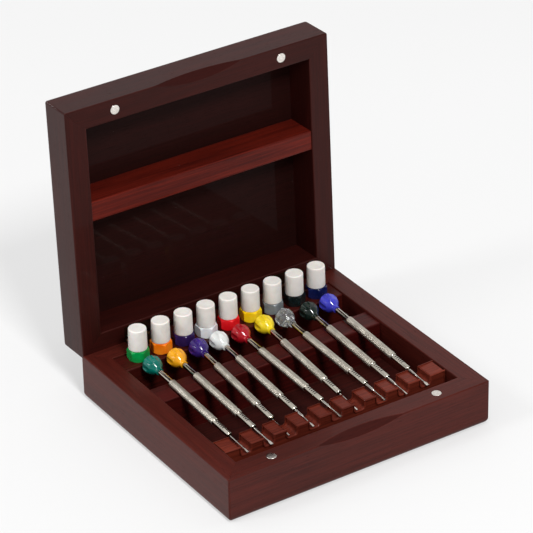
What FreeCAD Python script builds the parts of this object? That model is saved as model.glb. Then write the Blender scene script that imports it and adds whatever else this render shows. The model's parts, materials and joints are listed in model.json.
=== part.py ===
"""Precision screwdriver set: a stained hardwood case with nine drivers and nine blade vials.

Millimetres. The origin is the centre of the base's underside, +Z is up, -Y is the front
of the case, and the lid stands open on its two back hinges. Every size that drives the
model is a named cell of the sheet below, and each piece is bound to those cells.
"""
import FreeCAD, Part
import os
import re
import Sketcher
from FreeCAD import Placement, Rotation, Vector

os.makedirs("parts", exist_ok=True)
doc = FreeCAD.newDocument("screwdriver_set")

# ---------------------------------------------------------------- driving dimensions
COUNT = 9
DIMENSIONS = {
    # case
    "case_width": 180, "case_depth": 160.5, "base_height": 29, "lid_height": 24.5,
    "wall": 13.5, "floor_thick": 3, "panel_thick": 2.5, "rebate": 5,
    "edge_round": 3.5, "corner_round": 1, "rim_round": 0.7, "glue_line": 0.05,
    # finger notch: a shallow scoop across the front rims
    "notch_half": 31, "notch_drop": 4, "notch_reach": 5, "notch_drum": 40,
    # hinges
    "hinge_inset": 2.15, "rim_gap": 0.1, "open_angle": 92.24, "bevel_angle": 46.3,
    "hinge_length": 18, "hinge_offset": 52, "leaf_width": 9.5, "leaf_thick": 0.8,
    "knuckle_radius": 1.8, "knuckle_relief": 0.2, "knuckle_gap": 0.15,
    "pin_radius": 0.8, "pin_play": 0.05,
    "screw_offset": 5.6, "screw_inset": 6, "screw_radius": 0.75, "screw_length": 6,
    "screw_head_radius": 1.5, "screw_head_depth": 0.7, "screw_slot": 0.4, "screw_fit": 0.03,
    # magnets
    "magnet_radius": 3, "magnet_thick": 3, "magnet_offset": 57, "magnet_inset": 6.9,
    "magnet_fit": 0.03,
    # bars and rack: fronts are measured from the case's front face, drops from the rim
    "comb_front": 24.6, "comb_width": 13.6, "comb_drop": 0.5,
    "rest_front": 91.3, "rest_width": 16, "rest_drop": 1.5,
    "rack_front": 131.1, "rack_drop": 0.8,
    "lid_bar_low": 87, "lid_bar_width": 12.6, "lid_bar_drop": 0.8,
    "bar_round": 1, "bar_fit": 0.05,
    # spacing of the drivers' slots and of the vials
    "slot_pitch": 15.55, "vial_pitch": 15.8,
    # driver: lengths run along its own axis from the blade's tip to the swivel head
    "tip_front": 23.9, "tip_height": 24.05, "driver_tilt": 3.46,
    "slot_half": 3.3, "slot_floor": 23.05, "slot_corner": 1.6,
    "groove_radius": 4, "groove_gap": 0.1,
    "blade_reach": 19, "blade_socket": 10, "socket_fit": 0.03,
    "spade_length": 2.2, "spade_taper": 2, "shank_end": 10, "root_start": 12.5,
    "tip_length": 5.5, "tip_thick": 0.35, "blade_flank": 0.1,
    "nose_radius": 1.75, "nose_length": 15, "nose_chamfer": 0.3,
    "mouth_radius": 1.15, "mouth_offset": 0.28, "mouth_depth": 2.2,
    "grip_radius": 2.3, "grip_length": 46.5, "grip_chamfer": 0.3,
    "neck_radius": 1.7, "neck_length": 12.5,
    "pintle_radius": 1.2, "pintle_length": 4.5, "flange_radius": 1.8, "flange_thick": 1.2,
    "swivel_play": 0.06,
    "grub_radius": 0.6, "grub_setback": 4, "grub_length": 0.8, "grub_sink": 0.1,
    # swivel head
    "head_length": 13, "head_radius": 5.7, "crown_length": 4.4, "crown_edge": 1.5,
    "crown_radius": 4.4, "throat_radius": 2.9, "sleeve_radius": 2.5, "sleeve_length": 2,
    "flute_radius": 2.7, "flute_orbit": 7.4,
    # vial and stopper
    "vial_row": 139.9, "tube_radius": 5.6, "tube_play": 0.1, "tube_length": 21,
    "tube_bore": 3.8, "tube_floor": 1.2, "bore_depth": 22,
    "collar_height": 6.8, "collar_flats": 11.9, "collar_crest": 5.85, "collar_bevel": 1.1,
    "stopper_radius": 5.55, "stopper_crown": 5.3, "stopper_height": 13.4,
    "stopper_edge": 0.8, "spigot_length": 5, "spigot_play": 0.05,
}
# The nine drivers from left to right: half the width of the tip, the radius of the shank and of
# its root, how far the driver is turned in plan, and how far it lies to the right and to the back.
DRIVERS = {
    "a": (0.6, 0.45, 0.45, -0.4, 0, 0),
    "b": (0.9, 0.6, 0.6, -0.2, 0.3, -1.2),
    "c": (0.45, 0.3, 0.3, 1.8, 0.25, 0.8),
    "d": (0.6, 0.45, 0.8, 0.5, -0.4, 0.6),
    "e": (0.75, 0.5, 0.8, -1.6, 0, 0),
    "f": (0.5, 0.3, 0.5, 1.6, 0.2, 0.7),
    "g": (0.7, 0.45, 0.8, -1.2, 0.25, 0),
    "h": (0.45, 0.42, 0.75, 0, 0.35, -1.8),
    "i": (0.9, 0.5, 0.8, -0.3, -0.1, -1),
}
for letter, sizes in DRIVERS.items():
    for name, size in zip(("tip", "shank", "root", "yaw", "shift", "slide"), sizes):
        DIMENSIONS[f"{name}_{letter}"] = size

sheet = doc.addObject("Spreadsheet::Sheet", "Dims")
for row, (alias, size) in enumerate(DIMENSIONS.items(), 1):
    sheet.set(f"A{row}", alias)
    sheet.set(f"B{row}", str(size))
    sheet.setAlias(f"B{row}", alias)
doc.recompute()


# ---------------------------------------------------------------- expressions and places
def linked(text):
    """The expression with each dimension's name pointed at its sheet cell."""
    return re.sub(r"[A-Za-z_]+", lambda m: "Dims." + m[0] if m[0] in DIMENSIONS else m[0], text)


def bind(thing, **properties):
    """Bind properties to expressions over the sheet; a double underscore stands for a dot."""
    for name, text in properties.items():
        thing.setExpression(name.replace("__", "."), linked(text))


def size_of(text):
    """The present value of an expression over the sheet, in millimetres or degrees."""
    found = sheet.evalExpression(linked(text))
    return float(getattr(found, "Value", found))


def place(thing, x="0", y="0", z="0", axis=None, angle="0"):
    """Bind a piece's place, and its turn about an axis through that place."""
    if axis:
        thing.Placement = Placement(Vector(), Rotation(Vector(*axis), size_of(angle)))
        bind(thing, Placement__Rotation__Angle=angle)
    bind(thing, Placement__Base__x=x, Placement__Base__y=y, Placement__Base__z=z)
    return thing


def from_front(distance):
    """The Y of a place in the base, measured back from the front face."""
    return f"{distance} - case_depth / 2"


def column(i, pitch):
    """The X of the i-th of the nine columns, from the left."""
    return f"{i - COUNT // 2} * {pitch}"


# ---------------------------------------------------------------- solids
def block(length, width, height, x="0", y="0", z="0", axis=None, angle="0"):
    """A box with one corner at x, y, z."""
    thing = doc.addObject("Part::Box", "block")
    bind(thing, Length=length, Width=width, Height=height)
    return place(thing, x, y, z, axis, angle)


def rod(radius, height, x="0", y="0", z="0", axis=None, angle="0"):
    """A cylinder that starts at x, y, z and runs along +Z before it is turned."""
    thing = doc.addObject("Part::Cylinder", "rod")
    bind(thing, Radius=radius, Height=height)
    return place(thing, x, y, z, axis, angle)


def cross_rod(radius, length, x, y, z):
    """A cylinder along +X that starts at x, y, z."""
    return rod(radius, length, x, y, z, (0, 1, 0), "90")


def cone(low_radius, high_radius, height, x, y, z):
    """The frustum of a cone along +Z."""
    thing = doc.addObject("Part::Cone", "cone")
    bind(thing, Radius1=low_radius, Radius2=high_radius, Height=height)
    return place(thing, x, y, z)


def fused(pieces):
    """The union of two or more shapes."""
    thing = doc.addObject("Part::MultiFuse", "joined")
    thing.Shapes = pieces
    return thing


def grouped(pieces):
    """Separate solids kept side by side in one object."""
    thing = doc.addObject("Part::Compound", "group")
    thing.Links = pieces
    return thing


def cut(base, tools):
    """The base less one tool or several."""
    thing = doc.addObject("Part::Cut", "cut")
    thing.Base = base
    thing.Tool = tools[0] if len(tools) == 1 else fused(tools)
    return thing


def common(one, other):
    """What two shapes share."""
    thing = doc.addObject("Part::Common", "common")
    thing.Base = one
    thing.Tool = other
    return thing


# ---------------------------------------------------------------- bodies drawn from outlines
def outline(body, points, role, lift="0"):
    """A closed sketch of straight sides, each corner bound to a pair of expressions."""
    sketch = body.newObject("Sketcher::SketchObject", "outline")
    plane = next(f for f in body.Origin.OriginFeatures if f.Role == role)
    sketch.AttachmentSupport = [(plane, "")]
    sketch.MapMode = "FlatFace"
    bind(sketch, AttachmentOffset__Base__z=lift)
    places = [Vector(size_of(across), size_of(along), 0) for across, along in points]
    for start, stop in zip(places, places[1:] + places[:1]):
        sketch.addGeometry(Part.LineSegment(start, stop), False)
    for i, (corner, at) in enumerate(zip(points, places)):
        before = (i - 1) % len(points)
        sketch.addConstraint(Sketcher.Constraint("Coincident", before, 2, i, 1))
        for kind, text, here, axis in (
            ("DistanceX", corner[0], at.x, -2),
            ("DistanceY", corner[1], at.y, -1),
        ):
            if text == "0":
                sketch.addConstraint(Sketcher.Constraint("PointOnObject", i, 1, axis))
                continue
            made = sketch.addConstraint(Sketcher.Constraint(kind, -1, 1, i, 1, here))
            sketch.renameConstraint(made, f"{kind}{i}")
            bind(sketch, **{f"Constraints__{kind}{i}": text})
    return sketch


def turned(points):
    """A body of revolution about its own +Z, from (radius, height) corners."""
    body = doc.addObject("PartDesign::Body", "turned")
    spin = body.newObject("PartDesign::Revolution", "spin")
    spin.Profile = outline(body, points, "XZ_Plane")
    spin.ReferenceAxis = (spin.Profile[0], ["V_Axis"])
    spin.Angle = 360
    return body


def padded(points, height, role="XY_Plane", lift="0", midplane=False):
    """A body padded from one outline, with the pad that made it."""
    body = doc.addObject("PartDesign::Body", "padded")
    pad = body.newObject("PartDesign::Pad", "pad")
    pad.Profile = outline(body, points, role, lift)
    pad.Midplane = midplane
    bind(pad, Length=height)
    return body, pad


def rounded(body, base, radius, wanted):
    """Fillet the edges of a body's last feature whose bounding boxes pass the test."""
    doc.recompute()
    picked = [f"Edge{i}" for i, e in enumerate(base.Shape.Edges, 1) if wanted(e.BoundBox)]
    fillet = body.newObject("PartDesign::Fillet", "round")
    fillet.Base = (base, picked)
    bind(fillet, Radius=radius)
    return fillet


def level_with(box, height):
    """Whether a bounding box lies flat at one height."""
    return max(abs(box.ZMin - height), abs(box.ZMax - height)) < 0.01


def rectangle(low_x, high_x, low_y, high_y):
    """The corners of a rectangle."""
    return [(low_x, low_y), (high_x, low_y), (high_x, high_y), (low_x, high_y)]


def centred(length, width):
    """The corners of a rectangle centred on the origin."""
    return rectangle(f"-({length}) / 2", f"({length}) / 2", f"-({width}) / 2", f"({width}) / 2")


# ---------------------------------------------------------------- finished pieces
nodes = []


def node(label, thing):
    """Name a finished piece; the label is also its file's name."""
    thing.Label = label
    nodes.append(thing)
    return thing


# The hinge axis in the base, and the lid's own places when it is drawn closed about that axis.
AXIS_Y = "case_depth / 2 - hinge_inset"
AXIS_Z = "base_height + rim_gap / 2"
LID_RIM = "rim_gap / 2"
LID_MIDDLE = "hinge_inset - case_depth / 2"
LID_FRONT = "hinge_inset - case_depth"
SIDES = (-1, 1)


def lid_node(label, thing):
    """Swing a lid piece, drawn closed about the hinge axis, up to where it rests open."""
    shell = grouped([thing])
    return node(label, place(shell, "0", AXIS_Y, AXIS_Z, (-1, 0, 0), "open_angle"))


# ---------------------------------------------------------------- frames
def frame_blank(height, rim_up):
    """A rectangular frame: outer edges rounded, rim edges softened; the rim is at the top or foot."""
    body, pad = padded(centred("case_width", "case_depth"), height)
    tall = size_of(height)
    rim, outside = (tall, 0) if rim_up else (0, tall)
    last = rounded(body, pad, "corner_round", lambda b: b.ZLength > tall / 2)
    last = rounded(body, last, "edge_round", lambda b: level_with(b, outside))
    well = body.newObject("PartDesign::Pocket", "well")
    well.Profile = outline(
        body, centred("case_width - 2 * wall", "case_depth - 2 * wall"), "XY_Plane",
    )
    well.Type = "ThroughAll"
    well.Midplane = True
    rounded(body, well, "rim_round", lambda b: level_with(b, rim))
    return body


def rebate_tool(middle, low, height):
    """The space that the floor or the lid's panel fills, with a hair of room round it."""
    length = "case_width - 2 * (wall - rebate - glue_line)"
    width = "case_depth - 2 * (wall - rebate - glue_line)"
    return block(length, width, height, f"-({length}) / 2", f"{middle} - ({width}) / 2", low)


def mitre_kerfs(middle, low, height):
    """Four glue lines that part the frame into its mitred rails."""
    kerfs = []
    for side_x, side_y, heading in ((1, 1, "45"), (-1, 1, "135"), (-1, -1, "225"), (1, -1, "315")):
        x = f"{side_x} * (case_width / 2 - 1.4 * wall)"
        y = f"{middle} + {side_y} * (case_depth / 2 - 1.4 * wall)"
        kerfs.append(block("2.4 * wall", "glue_line", height, x, y, low, (0, 0, 1), heading))
    return kerfs


def notch_tool(front, rim, way):
    """A drum that scoops the front rim's edge; way is 1 for a rim that faces up and -1 down.

    The drum lies along the slope from notch_drop below the rim to notch_reach behind the
    front face, and meets the edge on a chord of 2 * notch_half.
    """
    slope = "sqrt(notch_drop ^ 2 + notch_reach ^ 2)"
    depth = f"(notch_drop * notch_reach / {slope})"
    radius = f"((notch_half ^ 2 + {depth} ^ 2) / (2 * {depth}))"
    lean = "atan(notch_reach / notch_drop)"
    y = f"{front} - {radius} * notch_drop / {slope} - notch_drum / 2 * notch_reach / {slope}"
    rise = f"{radius} * notch_reach / {slope} - notch_drum / 2 * notch_drop / {slope} - notch_drop"
    return rod(
        radius, "notch_drum", "0", y, f"{rim} + {way} * ({rise})",
        (-1, 0, 0), lean if way > 0 else f"180 deg - {lean}",
    )


def bevel_tool(axis_y, axis_z, way):
    """The wedge behind the hinge axis, cut away to the slope on which the open lid rests."""
    span = "12"
    if way > 0:
        y, z = axis_y, axis_z
    else:
        y = f"{axis_y} + {span} * sin(bevel_angle)"
        z = f"{axis_z} - {span} * cos(bevel_angle)"
    length = "case_width + 4"
    return block(length, span, span, f"-({length}) / 2", y, z, (-way, 0, 0), "bevel_angle")


def magnets(play, thick, y, low):
    """Two discs, or the bores for them, in a front rail's rim."""
    return [rod(f"magnet_radius + {play}", thick, f"{s} * magnet_offset", y, low) for s in SIDES]


def hinge_mortises(axis_y, axis_z, low, height):
    """Room in a back rail for the knuckles and for one leaf of each hinge."""
    tools = []
    for side in SIDES:
        left = f"{side} * hinge_offset - hinge_length / 2 - knuckle_gap"
        long = "hinge_length + 2 * knuckle_gap"
        deep = "leaf_width + knuckle_gap"
        tools.append(cross_rod("knuckle_radius + knuckle_relief", long, left, axis_y, axis_z))
        tools.append(block(long, deep, height, left, f"{axis_y} - ({deep})", low))
    return tools


def screw_places(axis_y):
    """X and Y of the screws in one set of leaves."""
    return [
        (f"{side} * hinge_offset + {way} * screw_offset", f"{axis_y} - screw_inset")
        for side in SIDES
        for way in SIDES
    ]


# ---------------------------------------------------------------- hinge pieces
def leaf(side, own, others, axis_y, axis_z, low, bore):
    """One butt leaf: a plate, its own knuckles, and room for the other leaf's knuckles."""
    left = f"{side} * hinge_offset - hinge_length / 2"
    third = "(hinge_length - 2 * knuckle_gap) / 3"
    plate = block("hinge_length", "leaf_width", "leaf_thick", left, f"{axis_y} - leaf_width", low)
    knuckles = [
        cross_rod("knuckle_radius", third, f"{left} + {k} * ({third} + knuckle_gap)", axis_y, axis_z)
        for k in own
    ]
    room = [
        cross_rod(
            "knuckle_radius + knuckle_gap", f"{third} + 2 * knuckle_gap",
            f"{left} + {k} * ({third} + knuckle_gap) - knuckle_gap", axis_y, axis_z,
        )
        for k in others
    ]
    hole = cross_rod(bore, "hinge_length + 2", f"{left} - 1", axis_y, axis_z)
    return fused([cut(plate, room)] + knuckles), hole


def screw(x, y, face, way, play):
    """A countersunk wood screw, or the room for it; way is 1 where its head faces up."""
    shank_low = f"{face} - screw_length" if way > 0 else face
    head_low = f"{face} - screw_head_depth" if way > 0 else face
    low, high = ("screw_radius", "screw_head_radius")[::way]
    shank = rod(f"screw_radius + {play}", "screw_length", x, y, shank_low)
    head = cone(f"{low} + {play}", f"{high} + {play}", "screw_head_depth", x, y, head_low)
    return fused([shank, head])


def slotted(x, y, face, way):
    """The finished screw with its driving slot."""
    slot = block(
        "4 * screw_head_radius", "screw_slot", "screw_slot", f"{x} - 2 * screw_head_radius",
        f"{y} - screw_slot / 2", f"{face} - screw_slot" if way > 0 else face,
    )
    return cut(screw(x, y, face, way, "0"), [slot])


def leaves(own, others, axis_y, axis_z, face, way, bore):
    """Both hinges' leaves for one half of the case."""
    low = f"{face} - leaf_thick" if way > 0 else face
    made = []
    for side in SIDES:
        blank, hole = leaf(side, own, others, axis_y, axis_z, low, bore)
        spots = [s for s in screw_places(axis_y) if s[0].startswith(f"{side} ")]
        room = [screw(x, y, face, way, "screw_fit") for x, y in spots]
        made.append(cut(blank, [hole] + room))
    return grouped(made)


# ---------------------------------------------------------------- base
base_tools = [rebate_tool("0", "-1", "floor_thick + 1")]
base_tools += mitre_kerfs("0", "-1", "base_height + 2")
base_tools += [bevel_tool(AXIS_Y, AXIS_Z, 1), notch_tool("-case_depth / 2", "base_height", 1)]
base_tools += magnets(
    "magnet_fit", "magnet_thick + 1", from_front("magnet_inset"), "base_height - magnet_thick",
)
base_tools += hinge_mortises(AXIS_Y, AXIS_Z, "base_height - leaf_thick", "leaf_thick + 1")
base_tools += [
    rod("screw_radius + screw_fit", "screw_length + 1", x, y, "base_height - screw_length")
    for x, y in screw_places(AXIS_Y)
]
node("base_frame", cut(frame_blank("base_height", True), base_tools))

FLOOR_LENGTH = "case_width - 2 * (wall - rebate)"
FLOOR_WIDTH = "case_depth - 2 * (wall - rebate)"
node("base_floor", block(
    FLOOR_LENGTH, FLOOR_WIDTH, "floor_thick", f"-({FLOOR_LENGTH}) / 2", f"-({FLOOR_WIDTH}) / 2",
))


def cross_bar(front, back, low, high, soft):
    """A bar right across the well; the two long edges at the height called soft are eased."""
    half = "(case_width / 2 - wall - bar_fit)"
    body, pad = padded(rectangle(f"-{half}", half, front, back), f"{high} - ({low})", lift=low)
    level = size_of(soft)
    rounded(body, pad, "bar_round", lambda b: b.XLength > 10 and level_with(b, level))
    return body


def bar_in_base(front, width, drop):
    """A bar that stands on the base's floor."""
    top = f"base_height - {drop}"
    return cross_bar(from_front(front), from_front(f"{front} + {width}"), "floor_thick", top, top)


comb_tools = []
rest_tools = []
rack_tools = []
REST_MIDDLE = "(rest_front + rest_width / 2)"
REST_HEIGHT = f"(tip_height + ({REST_MIDDLE} - tip_front) * tan(driver_tilt))"
GROOVE_AXIS = f"({REST_HEIGHT} - grip_radius - groove_gap + groove_radius)"
SLOT_INNER = "(slot_half - slot_corner)"
for i in range(COUNT):
    x = column(i, "slot_pitch")
    start = from_front("comb_front - 1")
    long = "comb_width + 2"
    corner = "slot_floor + slot_corner"
    for side in SIDES:
        corner_x = f"{x} + {side} * {SLOT_INNER}"
        comb_tools.append(rod("slot_corner", long, corner_x, start, corner, (-1, 0, 0), "90"))
    comb_tools.append(block(
        f"2 * {SLOT_INNER}", long, "base_height", f"{x} - {SLOT_INNER}", start, "slot_floor",
    ))
    comb_tools.append(block("2 * slot_half", long, "base_height", f"{x} - slot_half", start, corner))
    rest_tools.append(rod(
        "groove_radius", "2 * rest_width", x,
        from_front(f"{REST_MIDDLE} - rest_width * cos(driver_tilt)"),
        f"{GROOVE_AXIS} - rest_width * sin(driver_tilt)", (-1, 0, 0), "90 - driver_tilt",
    ))
    rack_tools.append(rod(
        "tube_radius + tube_play", "bore_depth + 1", column(i, "vial_pitch"), from_front("vial_row"),
        "base_height - rack_drop - bore_depth",
    ))
node("comb_bar", cut(bar_in_base("comb_front", "comb_width", "comb_drop"), comb_tools))
node("rest_bar", cut(bar_in_base("rest_front", "rest_width", "rest_drop"), rest_tools))
rack_width = "(case_depth - wall - bar_fit - rack_front)"
node("vial_rack", cut(bar_in_base("rack_front", rack_width, "rack_drop"), rack_tools))

node("base_magnets", grouped(
    magnets("0", "magnet_thick", from_front("magnet_inset"), "base_height - magnet_thick"),
))
node("hinge_base_leaves", leaves((0, 2), (1,), AXIS_Y, AXIS_Z, "base_height", 1, "pin_radius"))
node("hinge_pins", grouped([
    cross_rod("pin_radius", "hinge_length", f"{s} * hinge_offset - hinge_length / 2", AXIS_Y, AXIS_Z)
    for s in SIDES
]))
node("hinge_base_screws", grouped([
    slotted(x, y, "base_height", 1) for x, y in screw_places(AXIS_Y)
]))

# ---------------------------------------------------------------- lid
lid_tools = [rebate_tool(LID_MIDDLE, f"{LID_RIM} + lid_height - panel_thick", "panel_thick + 1")]
lid_tools += mitre_kerfs(LID_MIDDLE, "-1", "lid_height + 2")
lid_tools += [bevel_tool("0", "0", -1), notch_tool(LID_FRONT, LID_RIM, -1)]
lid_tools += magnets("magnet_fit", "magnet_thick + 1", f"{LID_FRONT} + magnet_inset", f"{LID_RIM} - 1")
lid_tools += hinge_mortises("0", "0", f"{LID_RIM} - 1", "leaf_thick + 1")
lid_tools += [
    rod("screw_radius + screw_fit", "screw_length + 1", x, y, f"{LID_RIM} - 1")
    for x, y in screw_places("0")
]
lid_blank = place(frame_blank("lid_height", False), "0", LID_MIDDLE, LID_RIM)
lid_node("lid_frame", cut(lid_blank, lid_tools))
lid_node("lid_panel", block(
    FLOOR_LENGTH, FLOOR_WIDTH, "panel_thick", f"-({FLOOR_LENGTH}) / 2",
    f"{LID_MIDDLE} - ({FLOOR_WIDTH}) / 2", f"{LID_RIM} + lid_height - panel_thick",
))
bar_foot = f"{LID_RIM} + lid_bar_drop"
lid_node("lid_bar", cross_bar(
    "hinge_inset - lid_bar_low - lid_bar_width", "hinge_inset - lid_bar_low",
    bar_foot, f"{LID_RIM} + lid_height - panel_thick", bar_foot,
))
lid_node("lid_magnets", grouped(magnets("0", "magnet_thick", f"{LID_FRONT} + magnet_inset", LID_RIM)))
lid_node("hinge_lid_leaves", leaves((1,), (0, 2), "0", "0", LID_RIM, -1, "pin_radius + pin_play"))
lid_node("hinge_lid_screws", grouped([slotted(x, y, LID_RIM, -1) for x, y in screw_places("0")]))

# ---------------------------------------------------------------- drivers
NOSE = "blade_reach"
GRIP = "(blade_reach + nose_length)"
NECK = "(blade_reach + nose_length + grip_length)"
SEAT = "(blade_reach + nose_length + grip_length + neck_length)"
FLANGE = f"({SEAT} + pintle_length)"
CAP = f"({FLANGE} + flange_thick)"
END = f"({SEAT} + head_length)"


def barrel(letter):
    """The turned metal handle: socketed nose, grip, neck, and the pintle the head swivels on."""
    bore = f"root_{letter} + socket_fit"
    blank = turned([
        (bore, NOSE), ("nose_radius - nose_chamfer", NOSE), ("nose_radius", f"{NOSE} + nose_chamfer"),
        ("nose_radius", GRIP), ("grip_radius - grip_chamfer", GRIP),
        ("grip_radius", f"{GRIP} + grip_chamfer"), ("grip_radius", f"{NECK} - grip_chamfer"),
        ("grip_radius - grip_chamfer", NECK), ("neck_radius", NECK), ("neck_radius", SEAT),
        ("pintle_radius", SEAT), ("pintle_radius", FLANGE), ("flange_radius", FLANGE),
        ("flange_radius", CAP), ("0", CAP), ("0", f"{NOSE} + blade_socket"),
        (bore, f"{NOSE} + blade_socket"),
    ])
    tapping = rod(
        "grub_radius + socket_fit", "2 * nose_radius", "0", "0", f"{NOSE} + grub_setback",
        (1, 0, 0), "90",
    )
    mouth = rod("mouth_radius", "2 * mouth_depth", "mouth_offset", "-mouth_offset", f"{NOSE} - mouth_depth")
    return cut(blank, [tapping, mouth])


def blade(letter):
    """A round shank, thicker at its root, drawn out to a flat spade tip, and its grub screw."""
    tip, shank, root = (f"{name}_{letter}" for name in ("tip", "shank", "root"))
    length = "(blade_reach + blade_socket - 0.1)"
    round_bar = turned([
        ("0", "0"), (tip, "0"), (tip, "spade_length"), (shank, "spade_length + spade_taper"),
        (shank, "shank_end"), (root, "root_start"), (root, length), ("0", length),
    ])
    thin = f"({shank} + blade_flank)"
    thick = f"({root} + blade_flank)"
    flat, _ = padded([
        ("-tip_thick / 2", "0"), ("tip_thick / 2", "0"), (thin, "tip_length"),
        (thick, "shank_end"), (thick, length), (f"-{thick}", length), (f"-{thick}", "shank_end"),
        (f"-{thin}", "tip_length"),
    ], f"4 * ({tip} + {root})", "YZ_Plane", midplane=True)
    grub = rod(
        "grub_radius", "grub_length", "0", "-(nose_radius - grub_sink - grub_length)",
        f"{NOSE} + grub_setback", (1, 0, 0), "90",
    )
    return grouped([common(round_bar, flat), grub])


def swivel_head():
    """A six-fluted plastic head with a closed pocket round the pintle and its flange."""
    bore = "pintle_radius + swivel_play"
    pocket = "flange_radius + swivel_play"
    blank = turned([
        (bore, f"{SEAT} + swivel_play"), ("sleeve_radius", f"{SEAT} + swivel_play"),
        ("sleeve_radius", f"{SEAT} + sleeve_length"), ("throat_radius", f"{SEAT} + sleeve_length"),
        ("head_radius", f"{END} - crown_length"), ("head_radius", f"{END} - crown_edge"),
        ("crown_radius", END), ("0", END), ("0", f"{CAP} + swivel_play"),
        (pocket, f"{CAP} + swivel_play"), (pocket, f"{FLANGE} - swivel_play"),
        (bore, f"{FLANGE} - swivel_play"),
    ])
    flutes = [
        rod(
            "flute_radius", "head_length + 2", f"flute_orbit * cos({a})", f"flute_orbit * sin({a})",
            f"{SEAT} - 1",
        )
        for a in range(0, 360, 60)
    ]
    return cut(blank, flutes)


def in_case(thing, i, letter):
    """Lay a driver's piece tip forward in its slot and groove, turned a little about the groove."""
    slide = f"slide_{letter}"
    laid = place(
        grouped([thing]), "0", f"tip_front - {REST_MIDDLE} + {slide} * cos(driver_tilt)",
        f"tip_height + {slide} * sin(driver_tilt)", (-1, 0, 0), "90 - driver_tilt",
    )
    x = f"{column(i, 'slot_pitch')} + shift_{letter}"
    return place(grouped([laid]), x, from_front(REST_MIDDLE), "0", (0, 0, 1), f"-yaw_{letter}")


for i, letter in enumerate(DRIVERS):
    node(f"driver_{i + 1}_barrel", in_case(barrel(letter), i, letter))
    node(f"driver_{i + 1}_blade", in_case(blade(letter), i, letter))
    node(f"driver_{i + 1}_head", in_case(swivel_head(), i, letter))


# ---------------------------------------------------------------- vials
def vial_tube():
    """A tube with a chamfered hexagonal collar; its own zero is the collar's underside."""
    collar = doc.addObject("Part::Prism", "collar")
    collar.Polygon = 6
    bind(collar, Circumradius="collar_flats / 2 / cos(30)", Height="collar_height")
    corner = "collar_flats / 2 / cos(30) + 0.1"
    trim = turned([
        ("0", "0"), (corner, "0"), (corner, "collar_height - collar_bevel"),
        ("collar_crest", "collar_height"), ("0", "collar_height"),
    ])
    tube = rod("tube_radius", "tube_length + collar_height / 2", z="-tube_length")
    bore = rod("tube_bore", "tube_length + collar_height", z="tube_floor - tube_length")
    return cut(fused([tube, common(collar, trim)]), [bore])


def stopper():
    """A push-in stopper: a drafted grip with a rounded crown over a plain spigot."""
    top = "(spigot_length + stopper_height)"
    spigot = "tube_bore - spigot_play"
    return turned([
        ("0", "0"), (spigot, "0"), (spigot, "spigot_length"), ("stopper_radius", "spigot_length"),
        ("stopper_crown", f"{top} - stopper_edge"),
        ("stopper_crown - 0.3 * stopper_edge", f"{top} - 0.3 * stopper_edge"),
        ("stopper_crown - stopper_edge", top), ("0", top),
    ])


RACK_TOP = "base_height - rack_drop"
COLLAR_TURN = 11
for i in range(COUNT):
    x, y = column(i, "vial_pitch"), from_front("vial_row")
    tube = place(grouped([vial_tube()]), x, y, RACK_TOP, (0, 0, 1), f"{COLLAR_TURN * i % 60}")
    node(f"vial_{i + 1}_tube", tube)
    plug_low = f"{RACK_TOP} + collar_height - spigot_length"
    node(f"vial_{i + 1}_stopper", place(stopper(), x, y, plug_low))

# ---------------------------------------------------------------- check and write
doc.recompute()
failed = [
    f"{thing.Label}: {thing.State}"
    for thing in doc.Objects
    if {"Invalid", "Error"} & set(thing.State)
]
failed += [piece.Label for piece in nodes if piece.Shape.isNull() or not piece.Shape.isValid()]
if failed:
    raise RuntimeError("failed: " + "; ".join(failed))
whole = FreeCAD.BoundBox()
for piece in nodes:
    piece.Shape.exportStep(f"parts/{piece.Label}.step")
    whole.add(piece.Shape.BoundBox)
    print(f"{piece.Label:22} solids {len(piece.Shape.Solids)}  volume {piece.Shape.Volume:10.2f} mm3")
print(f"{len(nodes)} nodes, overall {whole.XLength:.1f} x {whole.YLength:.1f} x {whole.ZLength:.1f} mm")
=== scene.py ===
# %% [markdown]
# # A watchmaker's driver case, in one frame with its design
# The object is a hinged hardwood case. It holds nine small drivers with swivelling coloured heads
# and nine stoppered vials for spare blades. The design model already fixes every size and joint,
# so this lesson only adds the looks: finer skins for the turned metal and moulded plastic, and
# stain, lacquer, plating and polish for everything.
#
# A shape here is a numpy grid of points: one row for each ring along a path, one column for each
# step round it. Working on whole arrays keeps the formulas short and the surfaces watertight.

# %% Load the design
import json
import math

import bpy
import numpy as np
from mathutils import Matrix, Vector


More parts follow.
